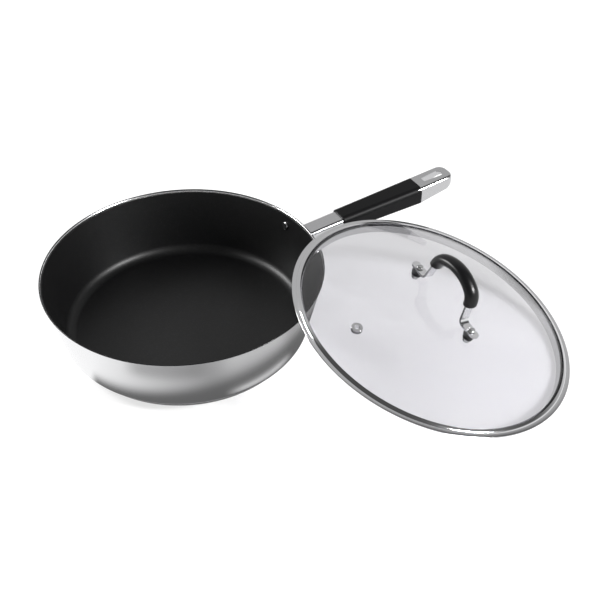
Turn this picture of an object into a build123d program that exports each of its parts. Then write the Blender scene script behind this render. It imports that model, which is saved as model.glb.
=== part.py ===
from build123d import *
import math
import os

# Saute pan with its glass lid leaning on it. Millimetres, +Z up, +X along the handle.
# The origin is the middle of the base's underside, where the pan stands.

# Driving dimensions of the pan
mouth_diameter = 280.0
pan_height = 78.0
wall_thickness = 1.0
wall_flare = 17.0
corner_radius = 12.0
lip_radius = 2.7
lip_roll = 56.0
coating_thickness = 0.3
coating_stop = 1.0
base_diameter = 233.0
base_thickness = 6.0
cover_thickness = 0.8
cover_edge_radius = 1.6

# Driving dimensions of the long handle
bracket_thickness = 2.0
rivet_angle = 12.0
rivet_depth = 14.0
rivet_diameter = 5.0
rivet_head_diameter = 9.0
rivet_head_height = 1.8
rivet_pad_radius = 9.0
neck_seat_width = 25.0
neck_seat_height = 17.0
neck_seat_corner = 4.0
tongue_reach = 32.0
tongue_height = 5.0
neck_drop = 4.2
handle_rise = 5.1
handle_reach = 188.3
handle_sheet = 1.5
neck_width = 21.3
neck_depth = 9.7
neck_bend_radius = 150.0
tip_width = 26.6
tip_radius = 10.5
tail_depth = 18.6
tail_lift = 7.5
tip_depth = 8.5
shoulder_radius = 4.0
grip_start = 44.8
grip_length = 98.7
grip_side = 1.35
grip_crown = 2.2
grip_floor = 2.2
grip_step = 0.6
grip_shoulder_radius = 6.2
grip_edge_radius = 1.8
grip_end_radius = 1.2
slot_length = 25.5
slot_near_width = 7.2
slot_far_width = 9.6
slot_end_gap = 9.4
slot_corner_radius = 1.3

# Driving dimensions of the lid
lid_clearance = 0.3
lid_handle_gap = 7.4
lean_share = 0.9186
glass_diameter = 281.5
glass_thickness = 4.0
glass_seat = -3.6
dome_rise = 25.3
glass_edge_radius = 1.4
seal_thickness = 0.5
seal_reach = 3.0
rim_sheet = 0.6
rim_grip = 2.8
flange_width = 3.8
skirt_inset = 5.4
skirt_depth = 10.0
hem_diameter = 1.5

# Driving dimensions of the lid's handle and vent
lid_handle_turn = -47.6
screw_spacing = 87.3
strap_width = 9.8
strap_thickness = 2.2
foot_overhang = 9.0
foot_corner_radius = 4.4
foot_bend_radius = 5.0
arch_height = 38.5
crown_radius = 40.0
crown_half_angle = 30.0
shoulder_bend_radius = 15.0
leg_angle = 82.0
sleeve_width = 15.2
sleeve_height = 11.8
sleeve_end_radius = 2.6
sleeve_tail = 3.4
washer_diameter = 12.0
washer_thickness = 3.5
washer_collar = 2.5
gasket_diameter = 10.0
gasket_thickness = 1.5
screw_diameter = 4.0
screw_head_diameter = 8.0
screw_head_height = 2.4
screw_slot_width = 1.2
screw_slot_depth = 1.1
screw_slot_turn = 70.0
glass_hole_diameter = 7.0
nut_flange_diameter = 9.0
nut_flange_thickness = 1.2
nut_diameter = 7.0
nut_height = 3.6
shank_share = 0.6
vent_distance = 100.3
vent_side = 1.7
vent_bore = 5.0
vent_tube_wall = 0.9
vent_flange_width = 2.0
vent_flange_thickness = 0.9

# Roundings as shares of the thickness they round, and one overrun for every cut that passes right through
edge_share = 0.4
dome_share = 0.8
overrun = 30.0

os.makedirs("parts", exist_ok=True)

# Places that the pan's pieces share
mouth_radius = mouth_diameter / 2
base_radius = base_diameter / 2
floor_height = base_thickness + wall_thickness
wall_angle = math.degrees(math.atan2(wall_flare, pan_height - floor_height))
wall_slope = math.tan(math.radians(wall_angle))
lip_angle = wall_angle + lip_roll
lip_rise = lip_radius * (math.sin(math.radians(lip_angle)) - math.sin(math.radians(wall_angle)))
lip_reach = lip_radius * (math.cos(math.radians(wall_angle)) - math.cos(math.radians(lip_angle)))
lip_height = pan_height - lip_rise
rim_radius = mouth_radius + lip_reach + wall_thickness * math.cos(math.radians(lip_angle))


def inner_radius(height):
    """Radius of the wall's inner face at a height."""
    return mouth_radius - (lip_height - height) * wall_slope


def outer_radius(height):
    """Radius of the wall's outer face at a height."""
    return inner_radius(height) + wall_thickness / math.cos(math.radians(wall_angle))


def inner_corner():
    """Where the inner floor and wall would meet without their corner radius."""
    return (inner_radius(floor_height), floor_height)


rivet_height = pan_height - rivet_depth


def rivet_plane(angle):
    """A plane on the wall's inner face at a rivet, looking outwards along the rivet."""
    turn = math.radians(angle)
    lean = math.radians(wall_angle)
    outward = (math.cos(turn) * math.cos(lean), math.sin(turn) * math.cos(lean), -math.sin(lean))
    across = (-math.sin(turn), math.cos(turn), 0)
    radius = inner_radius(rivet_height)
    place = (radius * math.cos(turn), radius * math.sin(turn), rivet_height)
    return Plane(origin=place, x_dir=across, z_dir=outward)


rivet_planes = [rivet_plane(rivet_angle), rivet_plane(-rivet_angle)]

# Pan body: one deep-drawn sheet with a flat bottom, a leaning wall and a lip rolled outwards
with BuildPart() as pan_body:
    with BuildSketch(Plane.XZ) as pan_section:
        with BuildLine() as pan_line:
            bowl = FilletPolyline((0, floor_height), inner_corner(), (mouth_radius, lip_height),
                                  radius=corner_radius)
            JernArc(start=bowl @ 1, tangent=bowl % 1, radius=lip_radius, arc_size=-lip_roll)
            offset(amount=wall_thickness, side=Side.RIGHT)
        make_face()
        lip_points = pan_section.vertices().sort_by(Axis.Y)[-2:]
        fillet(lip_points, radius=wall_thickness * edge_share)
    revolve(axis=Axis.Z)
    with Locations(*rivet_planes):
        Cylinder(rivet_diameter / 2, overrun, mode=Mode.SUBTRACT)
pan_body.part.label = "pan_body"
export_step(pan_body.part, "parts/pan_body.step")

# Coating: the black skin over the floor and wall, which stops just below the bare lip
with BuildPart() as nonstick_coating:
    coating_height = lip_height - coating_stop
    with BuildSketch(Plane.XZ):
        with BuildLine():
            FilletPolyline((0, floor_height), inner_corner(), (inner_radius(coating_height), coating_height),
                           radius=corner_radius)
            offset(amount=coating_thickness, side=Side.LEFT)
        make_face()
    revolve(axis=Axis.Z)
    with Locations(*rivet_planes):
        Cylinder(rivet_diameter / 2, overrun, mode=Mode.SUBTRACT)
nonstick_coating.part.label = "nonstick_coating"
export_step(nonstick_coating.part, "parts/nonstick_coating.step")

# Base: an aluminium disc that spreads the heat, inside a pressed steel cover
core_radius = base_radius - cover_thickness
core_height = base_thickness - cover_thickness
with BuildPart() as base_core:
    with BuildSketch(Plane.XY.offset(cover_thickness)):
        Circle(core_radius)
    extrude(amount=core_height)
    fillet(base_core.edges().group_by(Axis.Z)[0], radius=cover_edge_radius - cover_thickness)
base_core.part.label = "base_core"
export_step(base_core.part, "parts/base_core.step")

with BuildPart() as base_cover:
    with BuildSketch(Plane.XY):
        Circle(base_radius)
    extrude(amount=base_thickness)
    fillet(base_cover.edges().group_by(Axis.Z)[0], radius=cover_edge_radius)
    fillet(base_cover.edges().group_by(Axis.Z)[-1], radius=cover_thickness * edge_share)
    add(base_core.part, mode=Mode.SUBTRACT)
base_cover.part.label = "base_cover"
export_step(base_cover.part, "parts/base_cover.step")

# The handle's lines, seen from the side: its top rises away from the pan
rise_slope = math.tan(math.radians(handle_rise))
neck_start = outer_radius(rivet_height)
handle_end = neck_start + handle_reach
neck_top = pan_height - neck_drop
grip_near = neck_start + grip_start
grip_far = grip_near + grip_length
before_neck = neck_start - 2 * overrun
past_tip = handle_end + overrun


def top_height(place):
    """Height of the handle's top face at a distance along X."""
    return neck_top + (place - neck_start) * rise_slope


def under_height(place):
    """Height of the lower edges of the handle's sides, which deepen as far as the grip's end."""
    share = (place - neck_start) / (grip_far - neck_start)
    return top_height(place) - neck_depth - (tail_depth - neck_depth) * share


def channel_plan(inset):
    """The channel seen from above, moved in by an inset: a straight neck, a flare under the grip, a round tip."""
    sides = [(neck_start - overrun, neck_width / 2), (grip_near, neck_width / 2),
             (grip_far, tip_width / 2), (handle_end, tip_width / 2)]
    with BuildSketch() as plan:
        with BuildLine():
            Polyline(*sides, *[(place, -side) for place, side in reversed(sides)], sides[0])
        make_face()
        corners = plan.vertices().group_by(Axis.X)
        fillet(corners[1] + corners[2], radius=neck_bend_radius)
        fillet(plan.vertices().group_by(Axis.X)[-1], radius=tip_radius)
        if inset:
            offset(amount=-inset)
    return plan.sketch


def handle_block(plan, side_view, shoulder):
    """A plan pulled up and cut by a side view, with its long upper edges rounded to shoulders."""
    with BuildPart() as block:
        with BuildSketch(Plane.XY):
            add(plan)
        extrude(amount=pan_height + overrun)
        with BuildSketch(Plane.XZ):
            with BuildLine():
                Polyline(*side_view, side_view[0])
            make_face()
        extrude(amount=tip_width, both=True, mode=Mode.INTERSECT)
        top_face = block.faces().sort_by(lambda face: face.normal_at().Z)[-1]
        fillet(top_face.edges().filter_by(Axis.Y, reverse=True), radius=shoulder)
    return block.part


def round_cutter(cover):
    """Everything inside the wall's outer face, or inside a plate of this thickness on it."""
    low, high = base_thickness, pan_height + overrun
    with BuildPart() as cutter:
        with BuildSketch(Plane.XZ):
            with BuildLine():
                Polyline((0, low), (outer_radius(low) + cover, low), (outer_radius(high) + cover, high),
                         (0, high), (0, low))
            make_face()
        revolve(axis=Axis.Z)
    return cutter.part


# Bracket: a plate curved to the wall with a pad at each rivet, and a tongue inside the handle's neck
with BuildPart() as handle_bracket:
    with BuildSketch(Plane.YZ):
        with Locations((rivet_planes[0].origin.Y, rivet_height), (rivet_planes[1].origin.Y, rivet_height)):
            Circle(rivet_pad_radius)
        with Locations((0, neck_top - neck_seat_height / 2 + wall_thickness)):
            RectangleRounded(neck_seat_width, neck_seat_height, neck_seat_corner)
        make_hull()
    extrude(amount=rim_radius + overrun)
    add(round_cutter(bracket_thickness), mode=Mode.INTERSECT)
    root, tongue_end = neck_start - bracket_thickness, neck_start + tongue_reach
    with BuildSketch(Plane.XZ):
        with BuildLine():
            tongue_top = [(root, top_height(root) - handle_sheet), (tongue_end, top_height(tongue_end) - handle_sheet)]
            Polyline(*tongue_top, (tongue_end, top_height(tongue_end) - handle_sheet - tongue_height),
                     (root, top_height(root) - handle_sheet - tongue_height), tongue_top[0])
        make_face()
    extrude(amount=neck_width / 2 - shoulder_radius, both=True)
    add(round_cutter(0), mode=Mode.SUBTRACT)
    with Locations(*rivet_planes):
        Cylinder(rivet_diameter / 2, overrun, mode=Mode.SUBTRACT)
handle_bracket.part.label = "handle_bracket"
export_step(handle_bracket.part, "parts/handle_bracket.step")

# Rivets: round heads inside the pan, flatter ones over the bracket
with BuildPart() as handle_rivets:
    with Locations(*rivet_planes):
        Cylinder(rivet_diameter / 2, wall_thickness + bracket_thickness,
                 align=(Align.CENTER, Align.CENTER, Align.MIN))
    for plane in rivet_planes:
        along = Axis(plane.origin, plane.z_dir)
        with BuildSketch(plane.offset(-coating_thickness - rivet_head_height)):
            Circle(rivet_head_diameter / 2)
        inner_head = extrude(amount=rivet_head_height + coating_thickness)
        fillet(inner_head.edges().sort_by(along)[0], radius=rivet_head_height * dome_share)
        with BuildSketch(plane.offset(wall_thickness)):
            Circle(rivet_head_diameter / 2)
        outer_head = extrude(amount=bracket_thickness + rivet_head_height)
        fillet(outer_head.edges().sort_by(along)[-1], radius=rivet_head_height * edge_share)
    add(pan_body.part, mode=Mode.SUBTRACT)
    add(nonstick_coating.part, mode=Mode.SUBTRACT)
    add(handle_bracket.part, mode=Mode.SUBTRACT)
handle_rivets.part.label = "handle_rivets"
export_step(handle_rivets.part, "parts/handle_rivets.step")

# Handle channel: sheet steel pressed to an upside-down trough with a round tip and a hanging slot
tip_under = top_height(handle_end) - tip_depth
tip_middle = handle_end - tip_radius
outer_view = [(before_neck, under_height(before_neck)), (grip_far, under_height(grip_far)),
              (tip_middle, under_height(grip_far) + tail_lift), (handle_end, tip_under), (past_tip, tip_under),
              (past_tip, top_height(past_tip)), (before_neck, top_height(before_neck))]
inner_view = [(before_neck, base_thickness), (past_tip, base_thickness),
              (past_tip, top_height(past_tip) - handle_sheet), (before_neck, top_height(before_neck) - handle_sheet)]
with BuildPart() as handle_channel:
    add(handle_block(channel_plan(0), outer_view, shoulder_radius))
    add(handle_block(channel_plan(handle_sheet), inner_view, shoulder_radius - handle_sheet), mode=Mode.SUBTRACT)
    add(round_cutter(bracket_thickness), mode=Mode.SUBTRACT)
    slot_far = handle_end - slot_end_gap
    near_middle = slot_far - slot_length + slot_corner_radius
    near_side = slot_near_width / 2 - slot_corner_radius
    with BuildSketch(Plane.XY.offset(tip_under)):
        with Locations((slot_far - slot_far_width / 2, 0)):
            Circle(slot_far_width / 2)
        with Locations((near_middle, near_side), (near_middle, -near_side)):
            Circle(slot_corner_radius)
        make_hull()
    extrude(amount=overrun, mode=Mode.SUBTRACT)
handle_channel.part.label = "handle_channel"
export_step(handle_channel.part, "parts/handle_channel.step")

# Grip: soft rubber moulded round and into the channel, proud of the neck and nearly flush with the steel tail
grip_view = [(grip_near, under_height(grip_near) - grip_floor), (grip_far, under_height(grip_far) - grip_step),
             (grip_far, top_height(grip_far) + grip_step), (grip_near, top_height(grip_near) + grip_crown)]
grip_sides = [(grip_near, neck_width / 2 + grip_side), (grip_far, tip_width / 2 + grip_step)]
with BuildSketch() as grip_plan:
    with BuildLine():
        Polyline(*grip_sides, *[(place, -side) for place, side in reversed(grip_sides)], grip_sides[0])
    make_face()
with BuildPart() as handle_grip:
    add(handle_block(grip_plan.sketch, grip_view, grip_shoulder_radius))
    under_face = handle_grip.faces().sort_by(Axis.Z)[0]
    fillet(under_face.edges().filter_by(Axis.Y, reverse=True), radius=grip_edge_radius)
    fillet(handle_grip.faces().sort_by(Axis.X)[0].edges(), radius=grip_end_radius)
    add(handle_channel.part, mode=Mode.SUBTRACT)
handle_grip.part.label = "handle_grip"
export_step(handle_grip.part, "parts/handle_grip.step")

# Sizes that the lid's pieces share, in the lid's own frame: its axis up from the middle of the flange
glass_radius = glass_diameter / 2
dome_radius = (glass_radius ** 2 + dome_rise ** 2) / (2 * dome_rise)
edge_top = glass_seat + glass_thickness
dome_centre = edge_top + dome_rise - dome_radius
lid_radius = glass_radius + seal_thickness + rim_sheet + flange_width
skirt_radius = glass_radius - skirt_inset
hem_radius = hem_diameter / 2
hem_circle = skirt_radius - hem_radius


def glass_top(distance):
    """Height of the glass's upper face at a distance from the lid's axis."""
    return dome_centre + math.sqrt(dome_radius ** 2 - distance ** 2)


def glass_under(distance):
    """Height of the glass's lower face at a distance from the lid's axis."""
    return dome_centre + math.sqrt((dome_radius - glass_thickness) ** 2 - distance ** 2)


# The lid leans: its hem stands on the floor and meets the pan's rim at two points, a share of the way up the hem.
# It turns about the pan until its edge, seen from above, passes the grip with the gap between them.
tilt = math.asin((pan_height + lid_clearance) / (hem_circle * (1 + lean_share)))
hem_height = hem_circle * math.sin(tilt) + hem_radius
hem_side = hem_circle * math.sqrt(1 - lean_share ** 2)
hem_distance = (hem_circle * lean_share * math.cos(tilt)
                + math.sqrt((rim_radius + lid_clearance) ** 2 - hem_side ** 2))
hem_depth = skirt_depth - hem_radius
lid_distance = hem_distance + hem_depth * math.sin(tilt)
clear_side = tip_width / 2 + grip_step + lid_handle_gap
reach_squared = lid_distance ** 2 + (lid_radius * math.sin(tilt)) ** 2
lean_sine = (clear_side * lid_distance
             + math.sqrt((clear_side * lid_distance) ** 2
                         + reach_squared * (lid_radius ** 2 - clear_side ** 2))) / reach_squared
lean = -math.asin(lean_sine)
lid_centre = Vector(lid_distance * math.cos(lean), lid_distance * math.sin(lean),
                    hem_height + hem_depth * math.cos(tilt))
lid_normal = Vector(math.sin(tilt) * math.cos(lean), math.sin(tilt) * math.sin(lean), math.cos(tilt))
up_slope = Vector(-math.cos(tilt) * math.cos(lean), -math.cos(tilt) * math.sin(lean), math.sin(tilt))
handle_line = up_slope.rotate(Axis((0, 0, 0), lid_normal), lid_handle_turn)
lid_plane = Plane(origin=lid_centre, x_dir=handle_line, z_dir=lid_normal)
lid_section = Plane(origin=lid_centre, x_dir=handle_line, z_dir=-lid_plane.y_dir)
lid_middle = Plane(origin=lid_centre, x_dir=lid_plane.y_dir, z_dir=handle_line)
lid_axis = Axis(lid_centre, lid_normal)

# The vent stands square to the glass, beside the lid's handle and a little nearer to its upper screw
vent_line = handle_line * vent_side + lid_plane.y_dir * vent_distance
vent_turn = math.asin(vent_line.length / dome_radius)
vent_normal = lid_plane.z_dir * math.cos(vent_turn) + vent_line.normalized() * math.sin(vent_turn)
vent_middle = lid_centre + lid_normal * dome_centre + vent_normal * (dome_radius - glass_thickness / 2)
vent_plane = Plane(origin=vent_middle, x_dir=handle_line, z_dir=vent_normal)
vent_tube_radius = vent_bore / 2 + vent_tube_wall
screw_places = [(screw_spacing / 2, 0), (-screw_spacing / 2, 0)]
screw_distance = screw_spacing / 2


def glass_face(cover):
    """Half of the glass's section, from the lid's axis to its ground edge, grown by a cover."""
    top_angle = math.degrees(math.asin(glass_radius / dome_radius))
    under_angle = math.degrees(math.asin(glass_radius / (dome_radius - glass_thickness)))
    with BuildSketch() as section:
        with BuildLine():
            top = CenterArc((0, dome_centre), dome_radius, 90 - top_angle, top_angle)
            under = CenterArc((0, dome_centre), dome_radius - glass_thickness, 90 - under_angle, under_angle)
            Line(top @ 0, under @ 0)
            Line(top @ 1, under @ 1)
        make_face()
        fillet(section.vertices().sort_by(Axis.X)[-2:], radius=glass_edge_radius)
        if cover:
            offset(amount=cover)
    return section.sketch


# Glass: a shallow dome of tempered sheet, drilled for the two screws and the vent
with BuildPart() as lid_glass:
    with BuildSketch(lid_section):
        add(glass_face(0))
    revolve(axis=lid_axis)
    with BuildSketch(lid_plane):
        with Locations(*screw_places):
            Circle(glass_hole_diameter / 2)
    extrude(amount=overrun, mode=Mode.SUBTRACT)
    with BuildSketch(vent_plane):
        Circle(vent_tube_radius)
    extrude(amount=glass_thickness, both=True, mode=Mode.SUBTRACT)
lid_glass.part.label = "lid_glass"
export_step(lid_glass.part, "parts/lid_glass.step")


def edge_band(reach):
    """A rectangle that keeps only what lies within a reach of the glass's edge."""
    with BuildSketch() as band:
        with Locations((glass_radius - reach, 0)):
            Rectangle(reach + overrun, 2 * overrun, align=(Align.MIN, Align.CENTER))
    return band.sketch


# Seal: a thin rubber lining folded round the glass's edge, inside the steel rim
with BuildPart() as rim_seal:
    with BuildSketch(lid_section):
        add(glass_face(seal_thickness))
        add(edge_band(seal_reach), mode=Mode.INTERSECT)
        add(glass_face(0), mode=Mode.SUBTRACT)
    revolve(axis=lid_axis)
rim_seal.part.label = "rim_seal"
export_step(rim_seal.part, "parts/rim_seal.step")

# Rim: one strip of steel rolled round the glass, pressed double into a flange, with a hemmed skirt below
with BuildPart() as lid_rim:
    with BuildSketch(lid_section) as rim_section:
        add(glass_face(seal_thickness + rim_sheet))
        add(edge_band(skirt_inset + rim_sheet), mode=Mode.INTERSECT)
        with Locations((glass_radius - rim_grip, edge_top - glass_thickness / 2)):
            Rectangle(overrun, overrun, align=(Align.MAX, Align.MIN), mode=Mode.SUBTRACT)
        with Locations((glass_radius, 0)):
            Rectangle(lid_radius - glass_radius, 2 * rim_sheet, align=(Align.MIN, Align.CENTER))
        with Locations((skirt_radius, glass_under(skirt_radius) - seal_thickness)):
            Rectangle(rim_sheet, glass_under(skirt_radius) - seal_thickness + hem_depth, align=(Align.MAX, Align.MAX))
        with Locations((hem_circle, -hem_depth)):
            Circle(hem_radius)
        add(glass_face(seal_thickness), mode=Mode.SUBTRACT)
        fillet(rim_section.vertices().sort_by(Axis.X)[-2:], radius=rim_sheet * dome_share)
    revolve(axis=lid_axis)
lid_rim.part.label = "lid_rim"
export_step(lid_rim.part, "parts/lid_rim.step")

# Vent: a steel eyelet pressed through the glass, with a flange on each face
with BuildPart() as vent_eyelet:
    with BuildSketch(vent_plane):
        Circle(vent_tube_radius)
    extrude(amount=glass_thickness / 2 + vent_flange_thickness, both=True)
    for side in (1, -1):
        with BuildSketch(vent_plane.offset(side * glass_thickness / 2)):
            Circle(vent_tube_radius + vent_flange_width)
        extrude(amount=side * vent_flange_thickness)
    rounded = vent_eyelet.edges().filter_by(GeomType.CIRCLE).group_by(lambda edge: edge.radius)[-1]
    along = Axis(vent_plane.origin, vent_plane.z_dir)
    fillet([rounded.sort_by(along)[0], rounded.sort_by(along)[-1]], radius=vent_flange_thickness * edge_share)
    with BuildSketch(vent_plane):
        Circle(vent_bore / 2)
    extrude(amount=overrun, both=True, mode=Mode.SUBTRACT)
    add(lid_glass.part, mode=Mode.SUBTRACT)
vent_eyelet.part.label = "vent_eyelet"
export_step(vent_eyelet.part, "parts/vent_eyelet.step")

# Heights of the lid handle's stack, from the glass up: washer, foot, screw head
foot_under = glass_top(screw_distance) + washer_thickness
foot_middle = foot_under + strap_thickness / 2
foot_top = foot_under + strap_thickness
foot_end = screw_distance + foot_overhang
leg_turn = math.radians(leg_angle)


def arch_lines(tail):
    """Half of the arch's middle line, from its crown: crown, shoulder and a straight tail of the leg."""
    crown = JernArc(start=(0, foot_middle + arch_height), tangent=(1, 0), radius=crown_radius,
                    arc_size=-crown_half_angle)
    bend = JernArc(start=crown @ 1, tangent=crown % 1, radius=shoulder_bend_radius,
                   arc_size=crown_half_angle - leg_angle)
    return Line(bend @ 1, bend @ 1 + (bend % 1) * tail)


# Handle strap: a flat steel strip bent to an arch, with feet turned outwards and screwed down
shoulder_drop = (crown_radius - (crown_radius - shoulder_bend_radius) * math.cos(math.radians(crown_half_angle))
                 - shoulder_bend_radius * math.cos(leg_turn))
leg_drop = arch_height - shoulder_drop - foot_bend_radius * (1 - math.cos(leg_turn))
with BuildPart() as lid_handle_strap:
    with BuildSketch(lid_section):
        with BuildLine():
            leg = arch_lines(leg_drop / math.sin(leg_turn))
            ankle = JernArc(start=leg @ 1, tangent=leg % 1, radius=foot_bend_radius, arc_size=leg_angle)
            Line(ankle @ 1, (foot_end, foot_middle))
        trace(line_width=strap_thickness)
    extrude(amount=strap_width / 2, both=True)
    toe = lid_handle_strap.edges().filter_by(Axis((0, 0, 0), lid_normal)).sort_by(Axis(lid_centre, handle_line))[-2:]
    fillet(toe, radius=foot_corner_radius)
    mirror(about=lid_middle)
    with BuildSketch(lid_plane):
        with Locations(*screw_places):
            Circle(screw_diameter / 2)
    extrude(amount=foot_top + overrun, mode=Mode.SUBTRACT)
lid_handle_strap.part.label = "lid_handle_strap"
export_step(lid_handle_strap.part, "parts/lid_handle_strap.step")

# Sleeve: a heatproof oval grip moulded round the arch, ending just below its shoulders
with BuildPart() as lid_handle_sleeve:
    with BuildLine(lid_section) as sleeve_line:
        arch_lines(sleeve_tail)
        mirror(about=lid_middle)
    sleeve_path = sleeve_line.wires()[0]
    with BuildSketch(Plane(origin=sleeve_path @ 0, x_dir=lid_plane.y_dir, z_dir=sleeve_path % 0)):
        Ellipse(sleeve_width / 2, sleeve_height / 2)
    sweep(path=sleeve_path)
    sleeve_ends = lid_handle_sleeve.faces().filter_by(GeomType.PLANE)
    fillet(sleeve_ends.edges(), radius=sleeve_end_radius)
    add(lid_handle_strap.part, mode=Mode.SUBTRACT)
lid_handle_sleeve.part.label = "lid_handle_sleeve"
export_step(lid_handle_sleeve.part, "parts/lid_handle_sleeve.step")

# Washers: dark rubber rings between the feet and the glass, each with a collar down into the glass
with BuildPart() as foot_washers:
    with BuildSketch(lid_plane.offset(foot_under)):
        with Locations(*screw_places):
            Circle(washer_diameter / 2)
            Circle(screw_diameter / 2, mode=Mode.SUBTRACT)
    extrude(amount=-washer_thickness - washer_collar)
    add(lid_glass.part, mode=Mode.SUBTRACT)
foot_washers.part.label = "foot_washers"
export_step(foot_washers.part, "parts/foot_washers.step")

# Gaskets: thin rings that keep the steel nuts off the underside of the glass
gasket_under = glass_under(screw_distance) - gasket_thickness
with BuildPart() as glass_gaskets:
    with BuildSketch(lid_plane.offset(gasket_under)):
        with Locations(*screw_places):
            Circle(gasket_diameter / 2)
            Circle(screw_diameter / 2, mode=Mode.SUBTRACT)
    extrude(amount=gasket_thickness + glass_thickness / 2)
    add(lid_glass.part, mode=Mode.SUBTRACT)
    add(foot_washers.part, mode=Mode.SUBTRACT)
glass_gaskets.part.label = "glass_gaskets"
export_step(glass_gaskets.part, "parts/glass_gaskets.step")

# Screws: domed slotted heads on the feet, their shanks down through washers, glass and gaskets into the nuts
shank_end = gasket_under - nut_flange_thickness - nut_height * shank_share
with BuildPart() as lid_handle_screws:
    for place in screw_places:
        seat = lid_plane.offset(foot_top).shift_origin(lid_plane.offset(foot_top).from_local_coords(place))
        with BuildSketch(seat):
            Circle(screw_head_diameter / 2)
        head = extrude(amount=screw_head_height)
        fillet(head.edges().sort_by(lid_axis)[-1], radius=screw_head_height * dome_share)
        with BuildSketch(seat):
            Circle(screw_diameter / 2)
        extrude(amount=shank_end - foot_top)
        with BuildSketch(seat.offset(screw_head_height - screw_slot_depth)):
            Rectangle(screw_head_diameter, screw_slot_width, rotation=screw_slot_turn)
        extrude(amount=screw_slot_depth, mode=Mode.SUBTRACT)
lid_handle_screws.part.label = "lid_handle_screws"
export_step(lid_handle_screws.part, "parts/lid_handle_screws.step")

# Nuts: closed caps with a flange under each gasket
with BuildPart() as screw_nuts:
    with BuildSketch(lid_plane.offset(gasket_under)):
        with Locations(*screw_places):
            Circle(nut_flange_diameter / 2)
    extrude(amount=-nut_flange_thickness)
    with BuildSketch(lid_plane.offset(gasket_under - nut_flange_thickness)):
        with Locations(*screw_places):
            Circle(nut_diameter / 2)
    extrude(amount=-nut_height)
    cap_edges = screw_nuts.edges().group_by(lid_axis)[0]
    fillet(cap_edges, radius=nut_flange_thickness)
    add(lid_handle_screws.part, mode=Mode.SUBTRACT)
screw_nuts.part.label = "screw_nuts"
export_step(screw_nuts.part, "parts/screw_nuts.step")
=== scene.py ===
import math
import bmesh
import bpy
import numpy as np
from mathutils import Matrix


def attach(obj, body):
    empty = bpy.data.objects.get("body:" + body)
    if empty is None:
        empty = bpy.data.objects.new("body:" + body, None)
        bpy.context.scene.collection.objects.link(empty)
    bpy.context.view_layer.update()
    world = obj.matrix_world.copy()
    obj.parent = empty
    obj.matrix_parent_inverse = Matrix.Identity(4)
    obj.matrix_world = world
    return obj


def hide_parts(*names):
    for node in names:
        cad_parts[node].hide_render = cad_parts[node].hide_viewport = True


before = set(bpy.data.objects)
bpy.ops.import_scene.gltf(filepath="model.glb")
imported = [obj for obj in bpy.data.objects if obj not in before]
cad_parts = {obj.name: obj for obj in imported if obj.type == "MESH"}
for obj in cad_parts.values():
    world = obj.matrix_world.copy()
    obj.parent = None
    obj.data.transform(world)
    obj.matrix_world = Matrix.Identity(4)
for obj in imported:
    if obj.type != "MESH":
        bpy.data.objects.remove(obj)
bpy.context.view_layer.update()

# Camera
# The view that was fitted to the rim, the base, the lid and the handle of the photographed pan.
# It looks down at 40 degrees from the front left, with a 61.5 mm lens on a 36 mm wide frame.
camera_place = (-0.30252, -0.75844, 0.71028)
camera_pitch = 50.166
camera_heading = -30.0
camera_lens = 61.506
camera_data = bpy.data.cameras.new("studio_camera")
camera_data.lens = camera_lens
camera_data.sensor_width = 36.0
camera_data.clip_start = 0.02
camera = bpy.data.objects.new("studio_camera", camera_data)
camera.location = camera_place
camera.rotation_euler = (math.radians(camera_pitch), 0, math.radians(camera_heading))
bpy.context.scene.collection.objects.link(camera)
bpy.context.scene.camera = camera
bpy.context.scene.view_settings.view_transform = "Standard"

# Studio light
# A white room for the fill, with a soft box at the right and one at the left. The background is white.
# Mirror reflections don't see that background: for them the far side is light, the side that the
# photo's camera stands on is dark, and a bright line runs along the ground.
sky_strength = 0.45
sky_light_side = 0.6
sky_dark_side = 0.09
sky_horizon = 0.95
far_heading = 72.0
far_side = (0.30, 0.48)
horizon_rise = (0.42, 0.04)
box_distance = 1.8
box_height = 0.4
right_box_width = 0.4
left_box_width = 0.7
sky = bpy.data.worlds.new("studio_sky")
sky.use_nodes = True
sky_nodes = sky.node_tree.nodes
sky_links = sky.node_tree.links
sky_nodes.clear()


def glow(nodes, kind, strength):
    """An even white light: a world's background or a surface's emission, at a strength."""
    light = nodes.new(kind)
    light.inputs["Color"].default_value = (1, 1, 1, 1)
    light.inputs["Strength"].default_value = strength
    return light


def combine(nodes, links, operation, first, second):
    """Joins two values with a sum, product or other operation, where each is a socket or a number."""
    joint = nodes.new("ShaderNodeMath")
    joint.operation = operation
    for entry, value in enumerate((first, second)):
        if isinstance(value, (int, float)):
            joint.inputs[entry].default_value = value
        else:
            links.new(value, joint.inputs[entry])
    return joint.outputs[0]


def fade(nodes, links, value, start, stop, low, high, smooth="SMOOTHSTEP"):
    """Takes a value from low to high while it goes from start to stop, smoothly or in a straight line."""
    ramp = nodes.new("ShaderNodeMapRange")
    ramp.interpolation_type = smooth
    for place, number in (("From Min", start), ("From Max", stop), ("To Min", low), ("To Max", high)):
        ramp.inputs[place].default_value = number
    links.new(value, ramp.inputs["Value"])
    return ramp.outputs["Result"]


def toward(nodes, links, direction, heading):
    """How far a direction points to a heading along the ground: its dot product with that heading."""
    side = nodes.new("ShaderNodeVectorMath")
    side.operation = "DOT_PRODUCT"
    side.inputs[1].default_value = (math.cos(math.radians(heading)), math.sin(math.radians(heading)), 0)
    links.new(direction, side.inputs[0])
    return side.outputs["Value"]


def mirror_ray(nodes, links):
    """One for a ray that was last reflected by a glossy face, and zero for one that came through glass."""
    path = nodes.new("ShaderNodeLightPath").outputs
    return combine(nodes, links, "SUBTRACT", path["Is Glossy Ray"], path["Is Transmission Ray"])


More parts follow.
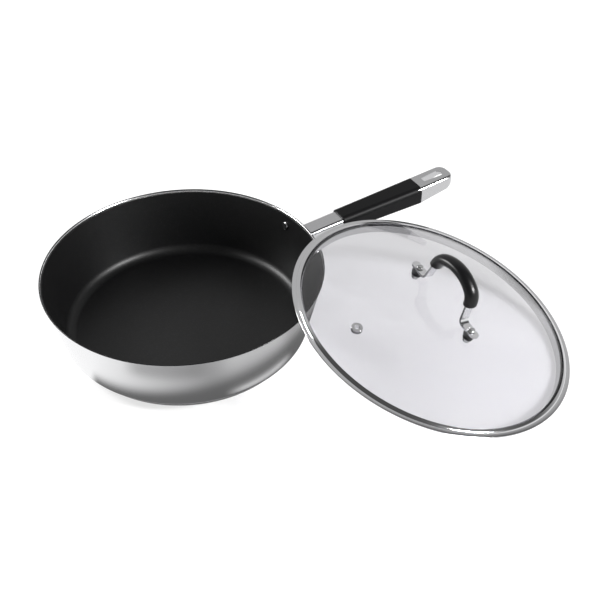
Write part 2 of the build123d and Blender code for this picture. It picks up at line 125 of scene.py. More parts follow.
sky_direction = sky_nodes.new("ShaderNodeTexCoord")
sky_split = sky_nodes.new("ShaderNodeSeparateXYZ")
sky_links.new(sky_direction.outputs["Generated"], sky_split.inputs[0])
sky_far = toward(sky_nodes, sky_links, sky_direction.outputs["Generated"], far_heading)
sky_sides = fade(sky_nodes, sky_links, sky_far, *far_side, sky_dark_side, sky_light_side)
sky_height = sky_split.outputs["Z"]
sky_ground_line = fade(sky_nodes, sky_links, sky_height, *horizon_rise, 0, sky_horizon, "LINEAR")
sky_pattern = combine(sky_nodes, sky_links, "MAXIMUM", sky_sides, sky_ground_line)
sky_output = sky_nodes.new("ShaderNodeOutputWorld")
sky_fill = glow(sky_nodes, "ShaderNodeBackground", sky_strength)
sky_seen = glow(sky_nodes, "ShaderNodeBackground", 1.0)
sky_mirror = glow(sky_nodes, "ShaderNodeBackground", 1.0)
sky_paths = sky_nodes.new("ShaderNodeLightPath")
sky_to_mirror = sky_nodes.new("ShaderNodeMixShader")
sky_to_seen = sky_nodes.new("ShaderNodeMixShader")
sky_any_look = combine(sky_nodes, sky_links, "MAXIMUM", sky_paths.outputs["Is Camera Ray"],
                       sky_paths.outputs["Is Transmission Ray"])
sky_links.new(sky_pattern, sky_mirror.inputs["Strength"])
sky_links.new(mirror_ray(sky_nodes, sky_links), sky_to_mirror.inputs[0])
sky_links.new(sky_fill.outputs[0], sky_to_mirror.inputs[1])
sky_links.new(sky_mirror.outputs[0], sky_to_mirror.inputs[2])
sky_links.new(sky_any_look, sky_to_seen.inputs[0])
sky_links.new(sky_to_mirror.outputs[0], sky_to_seen.inputs[1])
sky_links.new(sky_seen.outputs[0], sky_to_seen.inputs[2])
sky_links.new(sky_to_seen.outputs[0], sky_output.inputs["Surface"])
bpy.context.scene.world = sky


def soft_box(name, heading, height_angle, distance, width, height, power):
    """A soft box that points at the pan, set by its heading, its angle above the floor and its distance."""
    data = bpy.data.lights.new(name, "AREA")
    data.shape = "RECTANGLE"
    data.size = width
    data.size_y = height
    data.energy = power
    box = bpy.data.objects.new(name, data)
    turn = math.radians(heading)
    rise = math.radians(height_angle)
    level = distance * math.cos(rise)
    box.location = (level * math.cos(turn), level * math.sin(turn), distance * math.sin(rise))
    box.rotation_euler = (math.radians(90 - height_angle), 0, turn + math.radians(90))
    bpy.context.scene.collection.objects.link(box)


soft_box("soft_box_right", -52, 34, box_distance, right_box_width, box_height, 36)
soft_box("soft_box_left", 135, 34, box_distance, left_box_width, box_height, 30)

# Floor
# A seamless white ground. It shows itself as white and keeps a faint part of the pan's shadow.
# Mirror reflections see another ground, drawn to give the wall the light and dark bands of the photo:
# bright at the left and far off, dark round the base and under the front, with a lit ring at the right.
floor_reach = 6.0
floor_shade = 0.80
floor_seen_shade = 0.38
floor_glow = 0.66
floor_far_glow = 0.87
floor_drop = 0.0002
far_glow_reach = (0.6, 1.8)
base_shade_reach = (0.131, 0.145)
front_shade_reach = (0.152, 0.160)
ring_start = (0.129, 0.132)
ring_end = (0.134, 0.1375)
right_edge_reach = (0.145, 0.165)
base_line_reach = (0.117, 0.122)
far_ground_reach = (0.163, 0.20)
lit_heading = 150.0
shade_heading = -125.0
right_heading = -75.0
shade_middle = (0.006, -0.0113, 0)
floor_data = bpy.data.meshes.new("floor")
floor_corners = [(-floor_reach, -floor_reach, 0), (floor_reach, -floor_reach, 0),
                 (floor_reach, floor_reach, 0), (-floor_reach, floor_reach, 0)]
floor_data.from_pydata(floor_corners, [], [(0, 1, 2, 3)])
floor = bpy.data.objects.new("floor", floor_data)
floor.location.z = -floor_drop
bpy.context.scene.collection.objects.link(floor)
floor_paint = bpy.data.materials.new("white_ground")
floor_paint.use_nodes = True
floor_nodes = floor_paint.node_tree.nodes
floor_links = floor_paint.node_tree.links
floor_nodes.clear()
floor_place = floor_nodes.new("ShaderNodeTexCoord")
floor_away = floor_nodes.new("ShaderNodeVectorMath")
floor_away.operation = "LENGTH"
floor_links.new(floor_place.outputs["Object"], floor_away.inputs[0])
floor_distance = floor_away.outputs["Value"]
floor_heading = floor_nodes.new("ShaderNodeVectorMath")
floor_heading.operation = "NORMALIZE"
floor_links.new(floor_place.outputs["Object"], floor_heading.inputs[0])


def floor_toward(heading):
    """How nearly a place on the ground lies at a heading from the pan."""
    return toward(floor_nodes, floor_links, floor_heading.outputs["Vector"], heading)


def floor_fade(value, start, stop, low, high, smooth="SMOOTHSTEP"):
    """A fade of the ground's light along a value."""
    return fade(floor_nodes, floor_links, value, start, stop, low, high, smooth)


def floor_join(operation, first, second):
    """Two lights or shades on the ground, put together."""
    return combine(floor_nodes, floor_links, operation, first, second)


floor_offset = floor_nodes.new("ShaderNodeVectorMath")
floor_offset.operation = "DISTANCE"
floor_offset.inputs[1].default_value = shade_middle
floor_links.new(floor_place.outputs["Object"], floor_offset.inputs[0])
left_light = floor_fade(floor_toward(lit_heading), -0.3, 0.75, 0.28, 0.98, "LINEAR")
base_shade = floor_fade(floor_offset.outputs["Value"], *base_shade_reach, 0.03, 1.0)
lit_edge = floor_fade(floor_toward(lit_heading), 0.67, 0.76, 0, 1.0)
front_shade = floor_join("MULTIPLY", floor_fade(floor_distance, *front_shade_reach, 0, 0.55),
                         floor_fade(floor_toward(shade_heading), 0.90, 0.975, 0, 1.0))
lit_ground = floor_join("MULTIPLY", left_light, floor_join("MAXIMUM", base_shade, lit_edge))
lit_ground = floor_join("MULTIPLY", lit_ground, floor_join("SUBTRACT", 1.0, front_shade))
right_ring = floor_join("MULTIPLY", floor_fade(floor_distance, *ring_start, 0, 1.0),
                        floor_fade(floor_distance, *ring_end, 1.0, 0))
right_light = floor_join("MULTIPLY", right_ring, floor_fade(floor_toward(right_heading), 0.92, 0.99, 0, 0.6))
right_edge = floor_join("MULTIPLY", floor_fade(floor_distance, *right_edge_reach, 0, 0.22),
                        floor_fade(floor_toward(right_heading), 0.90, 0.98, 0, 1.0))
base_line = floor_fade(floor_distance, *base_line_reach, 0.45, 0)
near_ground = floor_join("ADD", lit_ground, floor_join("ADD", base_line, 0.14))
near_ground = floor_join("ADD", near_ground, floor_join("ADD", right_light, right_edge))
far_ground = floor_fade(floor_distance, *far_ground_reach, 0, 1.05)
floor_pattern = floor_join("MAXIMUM", near_ground, far_ground)

floor_output = floor_nodes.new("ShaderNodeOutputMaterial")
floor_matt = floor_nodes.new("ShaderNodeBsdfDiffuse")
floor_matt.inputs["Color"].default_value = (floor_shade, floor_shade, floor_shade, 1)
floor_light = glow(floor_nodes, "ShaderNodeEmission", floor_glow)
floor_own_light = floor_fade(floor_distance, *far_glow_reach, floor_glow, floor_far_glow)
floor_links.new(floor_own_light, floor_light.inputs["Strength"])
floor_seen_matt = floor_nodes.new("ShaderNodeBsdfDiffuse")
floor_seen_matt.inputs["Color"].default_value = (floor_seen_shade, floor_seen_shade, floor_seen_shade, 1)
floor_mirror_light = glow(floor_nodes, "ShaderNodeEmission", 1.0)
floor_seen = floor_nodes.new("ShaderNodeAddShader")
floor_path = floor_nodes.new("ShaderNodeLightPath").outputs
floor_choice = floor_nodes.new("ShaderNodeMixShader")
floor_mirror_choice = floor_nodes.new("ShaderNodeMixShader")
floor_any_look = floor_join("MAXIMUM", floor_path["Is Camera Ray"], floor_path["Is Transmission Ray"])
floor_links.new(floor_seen_matt.outputs[0], floor_seen.inputs[0])
floor_links.new(floor_light.outputs[0], floor_seen.inputs[1])
floor_links.new(floor_any_look, floor_choice.inputs[0])
floor_links.new(floor_matt.outputs[0], floor_choice.inputs[1])
floor_links.new(floor_seen.outputs[0], floor_choice.inputs[2])
floor_links.new(floor_pattern, floor_mirror_light.inputs["Strength"])
floor_links.new(mirror_ray(floor_nodes, floor_links), floor_mirror_choice.inputs[0])
floor_links.new(floor_choice.outputs[0], floor_mirror_choice.inputs[1])
floor_links.new(floor_mirror_light.outputs[0], floor_mirror_choice.inputs[2])
floor_links.new(floor_mirror_choice.outputs[0], floor_output.inputs["Surface"])
floor_data.materials.append(floor_paint)

# Pan body
# One sheet of stainless steel, drawn to a flat bottom and a leaning wall, its lip rolled outwards and
# its fine polishing lines running round. The lip's crest is painted black, a painted dark reflection,
# and the underside of the corner over the base is painted dark, a painted shade. It has no rivet holes
# here: the rivets pass through the steel.
mouth_radius = 0.140
pan_height = 0.078
pan_sheet = 0.001
wall_flare = 0.017
base_height = 0.006
corner_radius = 0.012
lip_radius = 0.0027
lip_roll = 56.0
lip_edge_radius = 0.0004
steel_colour = (0.80, 0.80, 0.81)
steel_roughness = 0.2
lip_roughness = 0.2
crest_angle = 46.0
# Height and reach of the painted shade on the underside of the corner over the base.
seam_shade_height = 0.0008
seam_shade_start = 0.108
body_line_depth = 0.00002
lip_line_depth = 0.000004
lip_grain_size = 0.0006
lip_grain_depth = 0.00001
seam_shade_line_depth = 0.00002
join_distance = 0.000001

inner_floor = base_height + pan_sheet
wall_angle = math.atan2(wall_flare, pan_height - inner_floor)
lip_angle = wall_angle + math.radians(lip_roll)
lip_height = pan_height - lip_radius * (math.sin(lip_angle) - math.sin(wall_angle))


def arc(middle, radius, start, stop, steps):
    """Points of an arc, row by row: middle plus radius times the cosine and sine of the angles in degrees."""
    angles = np.radians(np.linspace(start, stop, steps + 1))
    return np.column_stack((middle[0] + radius * np.cos(angles), middle[1] + radius * np.sin(angles)))


def bowl_line(cover, end_height):
    """The pan's inner line from its middle to a height on the wall, moved by a cover towards the food.

    The wall stands at the mouth's radius less the tangent of its lean for each step down. The corner's arc
    touches the floor and the wall, so its middle is one radius above the floor and one from the wall.
    """
    floor_line = inner_floor + cover
    radius = corner_radius - cover
    middle_height = inner_floor + corner_radius
    wall_at_middle = mouth_radius - (lip_height - middle_height) * math.tan(wall_angle)
    middle = (wall_at_middle - corner_radius / math.cos(wall_angle), middle_height)
    corner = arc(middle, radius, -90, -math.degrees(wall_angle), 24)
    end_radius = mouth_radius - (lip_height - end_height) * math.tan(wall_angle)
    end_radius = end_radius - cover / math.cos(wall_angle)
    flat = np.column_stack((np.linspace(0, middle[0], 14)[:-1], np.full(13, floor_line)))
    rise = np.linspace(0, 1, 12)[1:, None]
    wall = corner[-1] + rise * (np.array([end_radius, end_height]) - corner[-1])
    return np.vstack((flat, corner, wall))


def turned_piece(name, outline, steps, place=None, closed=False):
    """A piece turned on a lathe: each outline point (r, h) goes to (r cos a, r sin a, h) for steps angles a.

    A place is a 3 by 3 turn and a middle that carry the piece from its own axis to where it lies.
    The UV map's u runs once round the piece and its v is the length along the outline in metres.
    """
    angles = np.linspace(0, 2 * math.pi, steps, endpoint=False)
    ring = np.column_stack((np.cos(angles), np.sin(angles)))
    points = np.zeros((len(outline), steps, 3))
    points[:, :, :2] = outline[:, None, :1] * ring[None, :, :]
    points[:, :, 2] = outline[:, 1:2]
    points = points.reshape(-1, 3)
    if place is not None:
        points = points @ place[0].T + place[1]
    rows = len(outline) if closed else len(outline) - 1
    row, column = np.meshgrid(np.arange(rows), np.arange(steps), indexing="ij")
    row_after = (row + 1) % len(outline)
    column_after = (column + 1) % steps
    faces = np.stack((row * steps + column, row * steps + column_after,
                      row_after * steps + column_after, row_after * steps + column), axis=-1).reshape(-1, 4)
    length = np.concatenate(([0], np.cumsum(np.linalg.norm(np.diff(outline, axis=0), axis=1))))
    if closed:
        length = np.append(length, length[-1] + np.linalg.norm(outline[0] - outline[-1]))
    u = np.stack((column, column + 1, column + 1, column), axis=-1) / steps
    v = np.stack((length[row], length[row], length[row + 1], length[row + 1]), axis=-1)
    mesh = bpy.data.meshes.new(name)
    mesh.from_pydata(points.tolist(), [], faces.tolist())
    mesh.uv_layers.new(name="round")
    mesh.uv_layers["round"].data.foreach_set("uv", np.stack((u, v), axis=-1).ravel())
    piece = bpy.data.objects.new(name, mesh)
    bpy.context.scene.collection.objects.link(piece)
    edit = bmesh.new()
    edit.from_mesh(mesh)
    bmesh.ops.remove_doubles(edit, verts=edit.verts, dist=join_distance)
    bmesh.ops.recalc_face_normals(edit, faces=edit.faces)
    edit.to_mesh(mesh)
    edit.free()
    mesh.polygons.foreach_set("use_smooth", np.ones(len(mesh.polygons), bool))
    return piece


def rounded_corners(piece, angle):
    """Keeps the piece smooth along its curves, and splits the edges that are sharper than an angle."""
    split = piece.modifiers.new("crisp_edges", "EDGE_SPLIT")
    split.split_angle = math.radians(angle)


def turned_steel(name, colour, roughness, line_depth):
    """Lathe-polished steel: lines round the piece, from noise that is stretched along u and fine along v."""
    steel = bpy.data.materials.new(name)
    steel.use_nodes = True
    nodes = steel.node_tree.nodes
    links = steel.node_tree.links
    shader = nodes["Principled BSDF"]
    shader.inputs["Base Color"].default_value = (*colour, 1)
    shader.inputs["Metallic"].default_value = 1.0
    round_map = nodes.new("ShaderNodeUVMap")
    round_map.uv_map = "round"
    stretch = nodes.new("ShaderNodeMapping")
    stretch.inputs["Scale"].default_value = (6, 1400, 1)
    lines = nodes.new("ShaderNodeTexNoise")
    lines.inputs["Scale"].default_value = 1.0
    lines.inputs["Detail"].default_value = 6.0
    spread = nodes.new("ShaderNodeMapRange")
    spread.inputs["To Min"].default_value = roughness * 0.8
    spread.inputs["To Max"].default_value = roughness * 1.25
    bump = nodes.new("ShaderNodeBump")
    bump.inputs["Strength"].default_value = 0.35
    bump.inputs["Distance"].default_value = line_depth
    links.new(round_map.outputs["UV"], stretch.inputs["Vector"])
    links.new(stretch.outputs["Vector"], lines.inputs["Vector"])
    links.new(lines.outputs["Fac"], spread.inputs["Value"])
    links.new(spread.outputs["Result"], shader.inputs["Roughness"])
    links.new(lines.outputs["Fac"], bump.inputs["Height"])
    links.new(bump.outputs["Normal"], shader.inputs["Normal"])
    return steel


def rubber(name, colour, roughness, grain_size, depth, shine=0.45):
    """Moulded rubber: one dark colour, broken by a fine mottle in colour and height."""
    paint = bpy.data.materials.new(name)
    paint.use_nodes = True
    nodes = paint.node_tree.nodes
    links = paint.node_tree.links
    shader = nodes["Principled BSDF"]
    shader.inputs["Roughness"].default_value = roughness
    shader.inputs["Specular IOR Level"].default_value = shine
    place = nodes.new("ShaderNodeTexCoord")
    grain = nodes.new("ShaderNodeTexNoise")
    grain.inputs["Scale"].default_value = 1 / grain_size
    grain.inputs["Detail"].default_value = 4.0
    mottle = nodes.new("ShaderNodeValToRGB")
    mottle.color_ramp.elements[0].position = 0.3
    mottle.color_ramp.elements[0].color = (*[share * 0.8 for share in colour], 1)
    mottle.color_ramp.elements[1].position = 0.75
    mottle.color_ramp.elements[1].color = (*[share * 1.35 for share in colour], 1)
    bump = nodes.new("ShaderNodeBump")
    bump.inputs["Strength"].default_value = 0.5
    bump.inputs["Distance"].default_value = depth
    links.new(place.outputs["Object"], grain.inputs["Vector"])
    links.new(grain.outputs["Fac"], mottle.inputs["Fac"])
    links.new(mottle.outputs["Color"], shader.inputs["Base Color"])
    links.new(grain.outputs["Fac"], bump.inputs["Height"])
    links.new(bump.outputs["Normal"], shader.inputs["Normal"])
    return paint


def plain_metal(name, colour, roughness, grain, depth):
    """Metal with a fine grain: noise on the piece's own coordinates, scaled by a grain on each axis."""
    metal = bpy.data.materials.new(name)
    metal.use_nodes = True
    nodes = metal.node_tree.nodes
    links = metal.node_tree.links
    shader = nodes["Principled BSDF"]
    shader.inputs["Base Color"].default_value = (*colour, 1)
    shader.inputs["Metallic"].default_value = 1.0
    place = nodes.new("ShaderNodeTexCoord")
    stretch = nodes.new("ShaderNodeMapping")
    stretch.inputs["Scale"].default_value = grain
    lines = nodes.new("ShaderNodeTexNoise")
    lines.inputs["Scale"].default_value = 1.0
    lines.inputs["Detail"].default_value = 5.0
    spread = nodes.new("ShaderNodeMapRange")
    spread.inputs["To Min"].default_value = roughness * 0.75
    spread.inputs["To Max"].default_value = roughness * 1.3
    bump = nodes.new("ShaderNodeBump")
    bump.inputs["Strength"].default_value = 0.4
    bump.inputs["Distance"].default_value = depth
    links.new(place.outputs["Object"], stretch.inputs["Vector"])
    links.new(stretch.outputs["Vector"], lines.inputs["Vector"])
    links.new(lines.outputs["Fac"], spread.inputs["Value"])
    links.new(spread.outputs["Result"], shader.inputs["Roughness"])
    links.new(lines.outputs["Fac"], bump.inputs["Height"])
    links.new(bump.outputs["Normal"], shader.inputs["Normal"])
    return metal


lip_middle = (mouth_radius + lip_radius * math.cos(wall_angle),
              lip_height - lip_radius * math.sin(wall_angle))
lip_start = 180 - math.degrees(wall_angle)
lip_stop = 180 - math.degrees(lip_angle - lip_edge_radius / lip_radius)
lip_line = np.array((math.cos(math.radians(lip_stop)), math.sin(math.radians(lip_stop))))
lip_top_corner = np.array(lip_middle) + (lip_radius - lip_edge_radius) * lip_line
lip_under_corner = np.array(lip_middle) + (lip_radius - pan_sheet + lip_edge_radius) * lip_line
body_outline = np.vstack((
    bowl_line(0, lip_height)[:-1],
    arc(lip_middle, lip_radius, lip_start, lip_stop, 12),
    arc(lip_top_corner, lip_edge_radius, lip_stop, lip_stop - 90, 5)[1:],
    arc(lip_under_corner, lip_edge_radius, lip_stop - 90, lip_stop - 180, 5),
    arc(lip_middle, lip_radius - pan_sheet, lip_stop, lip_start, 12)[1:],
    bowl_line(-pan_sheet, lip_height - pan_sheet * math.sin(wall_angle))[::-1][1:]))
pan_body = turned_piece("polished_pan_body", body_outline, 256)
rounded_corners(pan_body, 40)
body_steel = turned_steel("lathe_polished_steel", steel_colour, steel_roughness, body_line_depth)
lip_steel = turned_steel("polished_lip_steel", steel_colour, lip_roughness, lip_line_depth)
# The black on the lip's crest is a painted dark reflection on the steel, not coating.
lip_dark_reflection = rubber("painted_lip_reflection", (0.003, 0.003, 0.004), 0.25, lip_grain_size, lip_grain_depth)
# Painted shade: a dark steel for the corner's underside over the base, where shade falls in the seam.
seam_shade_steel = plain_metal("painted_seam_shade", (0.05, 0.05, 0.052), 0.5, (600, 600, 600), seam_shade_line_depth)
for finish in (body_steel, lip_steel, lip_dark_reflection, seam_shade_steel):
    pan_body.data.materials.append(finish)
crest_height = lip_middle[1] + lip_radius * math.sin(math.radians(180 - crest_angle))
# Crest faces take the painted dark reflection; the underside of the corner over the base takes painted shade.
for face in pan_body.data.polygons:
    reach = math.hypot(face.center.x, face.center.y)
    if face.center.z > crest_height and face.normal.z > 0:
        face.material_index = 2
    elif face.center.z > lip_height:
        face.material_index = 1
    elif face.center.z < base_height + seam_shade_height and face.normal.z < 0 and reach > seam_shade_start:
        face.material_index = 3
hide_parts("pan_body")
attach(pan_body, "pan")

# Non-stick coating
# A black skin sprayed over the floor and wall and baked on, with fine pale flecks. It stops just below
# the lip, and like the body it has no rivet holes here.
coat_thickness = 0.0003
coat_stop = 0.001
coat_colour = (0.0015, 0.0015, 0.0017)
coat_fleck_colour = (0.011, 0.011, 0.012)
coat_roughness = 0.42
coat_fleck_size = 0.0013
coat_fleck_depth = 0.00012
coat_shine = 0.42

coat_top = lip_height - coat_stop
coat_outline = np.vstack((bowl_line(0, coat_top), bowl_line(coat_thickness, coat_top)[::-1]))
coating = turned_piece("sprayed_coating", coat_outline, 256)
rounded_corners(coating, 40)
coat_paint = bpy.data.materials.new("flecked_black_coating")
coat_paint.use_nodes = True
coat_nodes = coat_paint.node_tree.nodes
coat_links = coat_paint.node_tree.links
coat_shader = coat_nodes["Principled BSDF"]
coat_shader.inputs["Roughness"].default_value = coat_roughness
coat_shader.inputs["Specular IOR Level"].default_value = coat_shine
coat_place = coat_nodes.new("ShaderNodeTexCoord")
coat_grain = coat_nodes.new("ShaderNodeTexNoise")
coat_grain.inputs["Scale"].default_value = 1 / coat_fleck_size
coat_grain.inputs["Detail"].default_value = 3.0
coat_flecks = coat_nodes.new("ShaderNodeValToRGB")
coat_flecks.color_ramp.elements[0].position = 0.52
coat_flecks.color_ramp.elements[0].color = (*coat_colour, 1)
coat_flecks.color_ramp.elements[1].position = 0.78
coat_flecks.color_ramp.elements[1].color = (*coat_fleck_colour, 1)
coat_bump = coat_nodes.new("ShaderNodeBump")
coat_bump.inputs["Strength"].default_value = 0.5
coat_bump.inputs["Distance"].default_value = coat_fleck_depth
coat_links.new(coat_place.outputs["Object"], coat_grain.inputs["Vector"])
coat_links.new(coat_grain.outputs["Fac"], coat_flecks.inputs["Fac"])
coat_links.new(coat_flecks.outputs["Color"], coat_shader.inputs["Base Color"])
coat_links.new(coat_grain.outputs["Fac"], coat_bump.inputs["Height"])
coat_links.new(coat_bump.outputs["Normal"], coat_shader.inputs["Normal"])
coating.data.materials.append(coat_paint)
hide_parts("nonstick_coating")
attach(coating, "pan")

# Base
# An aluminium disc under the floor, in a pressed steel cover that shows as a band under the wall.
# The dark line round the cover's side is painted shade, standing for the shade in the seam between cover and
# wall.
base_radius = 0.1165
cover_sheet = 0.0008
cover_bottom_radius = 0.0016
cover_top_radius = 0.0004
shade_band_foot = 0.0018
shade_band_top = 0.0026
cover_line_depth = 0.00003
cover_shade_line_depth = 0.00002
core_line_depth = 0.00004
cover_corner = (base_radius - cover_bottom_radius, cover_bottom_radius)
cover_outline = np.vstack((
    np.column_stack((np.linspace(0, base_radius - cover_bottom_radius, 12)[:-1], np.zeros(11))),
    arc(cover_corner, cover_bottom_radius, -90, 0, 8),
    [(base_radius, shade_band_foot), (base_radius, shade_band_top)],
    arc((base_radius - cover_top_radius, base_height - cover_top_radius), cover_top_radius, 0, 90, 4),
    [(base_radius - cover_sheet, base_height)],
    arc(cover_corner, cover_bottom_radius - cover_sheet, 0, -90, 8),
    np.column_stack((np.linspace(base_radius - cover_bottom_radius, 0, 12)[1:], np.full(11, cover_sheet)))))
base_cover = turned_piece("pressed_base_cover", cover_outline, 256)
rounded_corners(base_cover, 40)
cover_steel = turned_steel("base_cover_steel", (0.6, 0.6, 0.61), 0.26, cover_line_depth)
# Painted shade: a dark steel for the band round the cover's side.
cover_seam_shade = plain_metal("shaded_seam_steel", (0.04, 0.04, 0.042), 0.5, (600, 600, 600), cover_shade_line_depth)
for finish in (cover_steel, cover_seam_shade):
    base_cover.data.materials.append(finish)
# Faces in the band between its foot and top take the painted shade.
for face in base_cover.data.polygons:
    face.material_index = int(shade_band_foot < face.center.z < shade_band_top)
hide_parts("base_cover")
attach(base_cover, "pan")


def dress(node, paint, angle=32):
    """Gives a CAD node its finish, smoothed up to an angle by modifiers that leave its mesh alone."""
    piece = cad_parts[node]
    piece.data.materials.clear()
    piece.data.materials.append(paint)
    piece.data.polygons.foreach_set("use_smooth", np.ones(len(piece.data.polygons), bool))
    weld = piece.modifiers.new("joined", "WELD")
    weld.merge_threshold = join_distance
    rounded_corners(piece, angle)
    flat_faces = piece.modifiers.new("flat_faces", "WEIGHTED_NORMAL")
    flat_faces.mode = "FACE_AREA_WITH_ANGLE"
    return piece


core_metal = plain_metal("core_aluminium", (0.55, 0.55, 0.57), 0.4, (400, 400, 400), core_line_depth)
dress("base_core", core_metal)

# Handle bracket
# A pressed steel plate curved to the wall, with a pad at each rivet and a tongue up into the handle's neck.
bracket_depth = 0.00003
bracket_steel = plain_metal("bracket_steel", (0.6, 0.6, 0.61), 0.22, (300, 300, 1200), bracket_depth)
dress("handle_bracket", bracket_steel)

# Handle rivets
# Two solid rivets of dull steel, with round heads in the pan and flatter heads outside.
rivet_depth = 0.00002
rivet_steel = plain_metal("rivet_steel", (0.42, 0.42, 0.43), 0.24, (900, 900, 900), rivet_depth)
dress("handle_rivets", rivet_steel)

# Handle channel
# Sheet steel pressed to an upside-down trough and polished along its length, with a hanging slot in
# its round end.
channel_depth = 0.000025
channel_steel = plain_metal("channel_steel", (0.56, 0.56, 0.57), 0.2, (30, 1100, 1100), channel_depth)
dress("handle_channel", channel_steel)

# Handle grip
# Soft black rubber moulded round the channel, a little thicker than the steel on every side.
grip_grain_size = 0.0006
grip_grain_depth = 0.00006
grip_rubber = rubber("grip_rubber", (0.003, 0.003, 0.0034), 0.45, grip_grain_size, grip_grain_depth, 0.14)
dress("handle_grip", grip_rubber)

# Lid glass
# A shallow dome of clear tempered glass, 4 mm thick, with a ground edge. It leans with the rim's edge on
# the ground. It is not drilled here: screws, gaskets and vent pass through the glass.
lid_clearance = 0.0003
lid_handle_gap = 0.0074
handle_side = 0.0139
lean_share = 0.9186
glass_radius = 0.14075
glass_thickness = 0.004
glass_seat = -0.0036
dome_rise = 0.0253
glass_edge_radius = 0.0014
seal_thickness = 0.0005
rim_sheet = 0.0006
rim_grip = 0.0028
flange_width = 0.0038
skirt_inset = 0.0054
skirt_depth = 0.010
hem_radius = 0.00075
lid_handle_turn = -47.6
glass_tint = (0.555, 0.552, 0.568)
glass_shadow_tint = (0.93, 0.93, 0.95)

dome_radius = (glass_radius ** 2 + dome_rise ** 2) / (2 * dome_rise)
dome_middle = glass_seat + glass_thickness + dome_rise - dome_radius
lid_radius = glass_radius + seal_thickness + rim_sheet + flange_width
skirt_radius = glass_radius - skirt_inset
hem_circle = skirt_radius - hem_radius
hem_depth = skirt_depth - hem_radius
rim_radius = lip_middle[0] - lip_radius * math.cos(lip_angle) + pan_sheet * math.cos(lip_angle)
lean_tilt = math.asin((pan_height + lid_clearance) / (hem_circle * (1 + lean_share)))
hem_height = hem_circle * math.sin(lean_tilt) + hem_radius
hem_side = hem_circle * math.sqrt(1 - lean_share ** 2)
hem_distance = (hem_circle * lean_share * math.cos(lean_tilt)
                + math.sqrt((rim_radius + lid_clearance) ** 2 - hem_side ** 2))
lid_distance = hem_distance + hem_depth * math.sin(lean_tilt)
clear_side = handle_side + lid_handle_gap
reach_squared = lid_distance ** 2 + (lid_radius * math.sin(lean_tilt)) ** 2
lean_sine = (clear_side * lid_distance
             + math.sqrt((clear_side * lid_distance) ** 2
                         + reach_squared * (lid_radius ** 2 - clear_side ** 2))) / reach_squared
lean_turn = -math.asin(lean_sine)
lid_middle = np.array((lid_distance * math.cos(lean_turn), lid_distance * math.sin(lean_turn),
                       hem_height + hem_depth * math.cos(lean_tilt)))
lid_up = np.array((math.sin(lean_tilt) * math.cos(lean_turn), math.sin(lean_tilt) * math.sin(lean_turn),
                   math.cos(lean_tilt)))
up_slope = np.array((-math.cos(lean_tilt) * math.cos(lean_turn), -math.cos(lean_tilt) * math.sin(lean_turn),
                     math.sin(lean_tilt)))
handle_turn = math.radians(lid_handle_turn)
handle_line = up_slope * math.cos(handle_turn) + np.cross(lid_up, up_slope) * math.sin(handle_turn)
lid_place = (np.column_stack((handle_line, np.cross(lid_up, handle_line), lid_up)), lid_middle)


def glass_line(cover, start_top, end_under):
    """The glass's outline grown by a cover, from a radius on its top, round its edge, to a radius underneath.

    Top and underside are arcs about the dome's middle. Each corner is an arc that touches them.
    """
    corner_place = glass_radius - glass_edge_radius
    corner = glass_edge_radius + cover
    top = dome_radius + cover
    under = dome_radius - glass_thickness - cover
    top_reach = dome_radius - glass_edge_radius
    under_reach = dome_radius - glass_thickness + glass_edge_radius
    top_lean = math.degrees(math.asin(corner_place / top_reach))
    under_lean = math.degrees(math.asin(corner_place / under_reach))
    top_middle = (corner_place, dome_middle + math.sqrt(top_reach ** 2 - corner_place ** 2))
    under_middle = (corner_place, dome_middle + math.sqrt(under_reach ** 2 - corner_place ** 2))
    start = math.degrees(math.asin(start_top / top))
    end = math.degrees(math.asin(end_under / under))
    steps = max(3, int(40 * (top_lean - start) / top_lean))
    return np.vstack((
        arc((0, dome_middle), top, 90 - start, 90 - top_lean, steps)[:-1],
        arc(top_middle, corner, 90 - top_lean, 0, 8),
        arc(under_middle, corner, 0, -90 - under_lean, 8),
        arc((0, dome_middle), under, 90 - under_lean, 90 - end, steps)[1:]))


lid_glass = turned_piece("domed_lid_glass", glass_line(0, 0, 0), 256, lid_place)
rounded_corners(lid_glass, 40)
clear_glass = bpy.data.materials.new("clear_tempered_glass")
clear_glass.use_nodes = True
glass_nodes = clear_glass.node_tree.nodes
glass_links = clear_glass.node_tree.links
glass_shader = glass_nodes["Principled BSDF"]
glass_shader.inputs["Base Color"].default_value = (*glass_tint, 1)
glass_shader.inputs["Roughness"].default_value = 0.0
glass_shader.inputs["IOR"].default_value = 1.47
glass_shader.inputs["Transmission Weight"].default_value = 1.0
glass_through = glass_nodes.new("ShaderNodeBsdfTransparent")
glass_through.inputs["Color"].default_value = (*glass_shadow_tint, 1)
glass_path = glass_nodes.new("ShaderNodeLightPath")
glass_mix = glass_nodes.new("ShaderNodeMixShader")
glass_output = glass_nodes["Material Output"]
glass_links.new(glass_path.outputs["Is Shadow Ray"], glass_mix.inputs[0])
glass_links.new(glass_shader.outputs[0], glass_mix.inputs[1])
glass_links.new(glass_through.outputs[0], glass_mix.inputs[2])
glass_links.new(glass_mix.outputs[0], glass_output.inputs["Surface"])
lid_glass.data.materials.append(clear_glass)
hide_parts("lid_glass")
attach(lid_glass, "lid")

# Rim seal
# A thin dark rubber lining folded round the glass's edge, which the steel rim grips.
seal_reach = 0.003
seal_outline = np.vstack((glass_line(seal_thickness, glass_radius - seal_reach, glass_radius - seal_reach),
                          glass_line(0, glass_radius - seal_reach, glass_radius - seal_reach)[::-1]))
rim_seal = turned_piece("folded_rim_seal", seal_outline, 256, lid_place, closed=True)
rounded_corners(rim_seal, 40)
seal_grain_size = 0.0005
seal_grain_depth = 0.00003
seal_rubber = rubber("seal_rubber", (0.02, 0.02, 0.022), 0.55, seal_grain_size, seal_grain_depth)
rim_seal.data.materials.append(seal_rubber)
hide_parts("rim_seal")
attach(rim_seal, "lid")

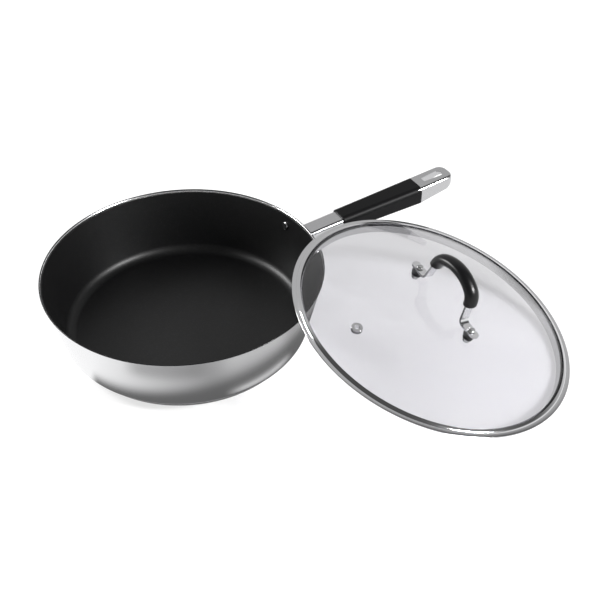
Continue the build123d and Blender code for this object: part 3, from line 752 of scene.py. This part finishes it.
# Lid rim
# A strip of stainless steel rolled round the glass: a hook over its edge, a double flange outwards, and
# a skirt below with a rolled hem. It is drawn as three closed rings that overlap inside the steel.
rim_reach_under = glass_radius - skirt_inset - rim_sheet
hook_outline = np.vstack((
    glass_line(seal_thickness + rim_sheet, glass_radius - rim_grip, rim_reach_under),
    glass_line(seal_thickness, glass_radius - rim_grip, rim_reach_under)[::-1]))
flange_round = 0.00045
flange_start = glass_radius + seal_thickness
flange_outline = np.vstack((
    [(flange_start, rim_sheet)],
    arc((lid_radius - flange_round, rim_sheet - flange_round), flange_round, 90, 0, 4),
    arc((lid_radius - flange_round, flange_round - rim_sheet), flange_round, 0, -90, 4),
    [(flange_start, -rim_sheet)]))
skirt_top = dome_middle + math.sqrt((dome_radius - glass_thickness) ** 2 - skirt_radius ** 2) - seal_thickness
bead_gap = math.degrees(math.asin(1 - rim_sheet / hem_radius))
skirt_outline = np.vstack((
    [(skirt_radius, skirt_top)],
    arc((hem_circle, -hem_depth), hem_radius, 0, -180 - bead_gap, 16),
    [(skirt_radius - rim_sheet, skirt_top)]))
rim_outlines = (hook_outline, flange_outline, skirt_outline)
rim_rings = [turned_piece("rolled_lid_rim", outline, 256, lid_place, closed=True) for outline in rim_outlines]
rim_edit = bmesh.new()
for ring in rim_rings:
    rim_edit.from_mesh(ring.data)
lid_rim = rim_rings[0]
rim_edit.to_mesh(lid_rim.data)
rim_edit.free()
for ring in rim_rings[1:]:
    bpy.data.objects.remove(ring)
rounded_corners(lid_rim, 40)
rim_line_depth = 0.00001
lid_rim.data.materials.append(turned_steel("lid_rim_steel", (0.66, 0.66, 0.67), 0.12, rim_line_depth))
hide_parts("lid_rim")
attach(lid_rim, "lid")

# Vent
# A small steel eyelet with a bore to let steam out. The glass, which is not drilled here, closes it.
bright_depth = 0.00001
bright_steel = plain_metal("bright_steel", (0.7, 0.7, 0.71), 0.09, (500, 500, 500), bright_depth)
dress("vent_eyelet", bright_steel)

# Lid handle
# A bright steel strap bent to an arch, with a black heatproof sleeve moulded round its crown.
# Two slotted screws hold its feet over dark rubber washers, with gaskets and closed nuts under the glass.
dress("lid_handle_strap", bright_steel)
dress("lid_handle_screws", bright_steel)
dress("screw_nuts", bright_steel)
dress("foot_washers", seal_rubber)
dress("glass_gaskets", seal_rubber)
sleeve_grain_size = 0.0008
sleeve_grain_depth = 0.00003
sleeve_black = rubber("sleeve_black", (0.004, 0.004, 0.0045), 0.3, sleeve_grain_size, sleeve_grain_depth, 0.3)
dress("lid_handle_sleeve", sleeve_black)
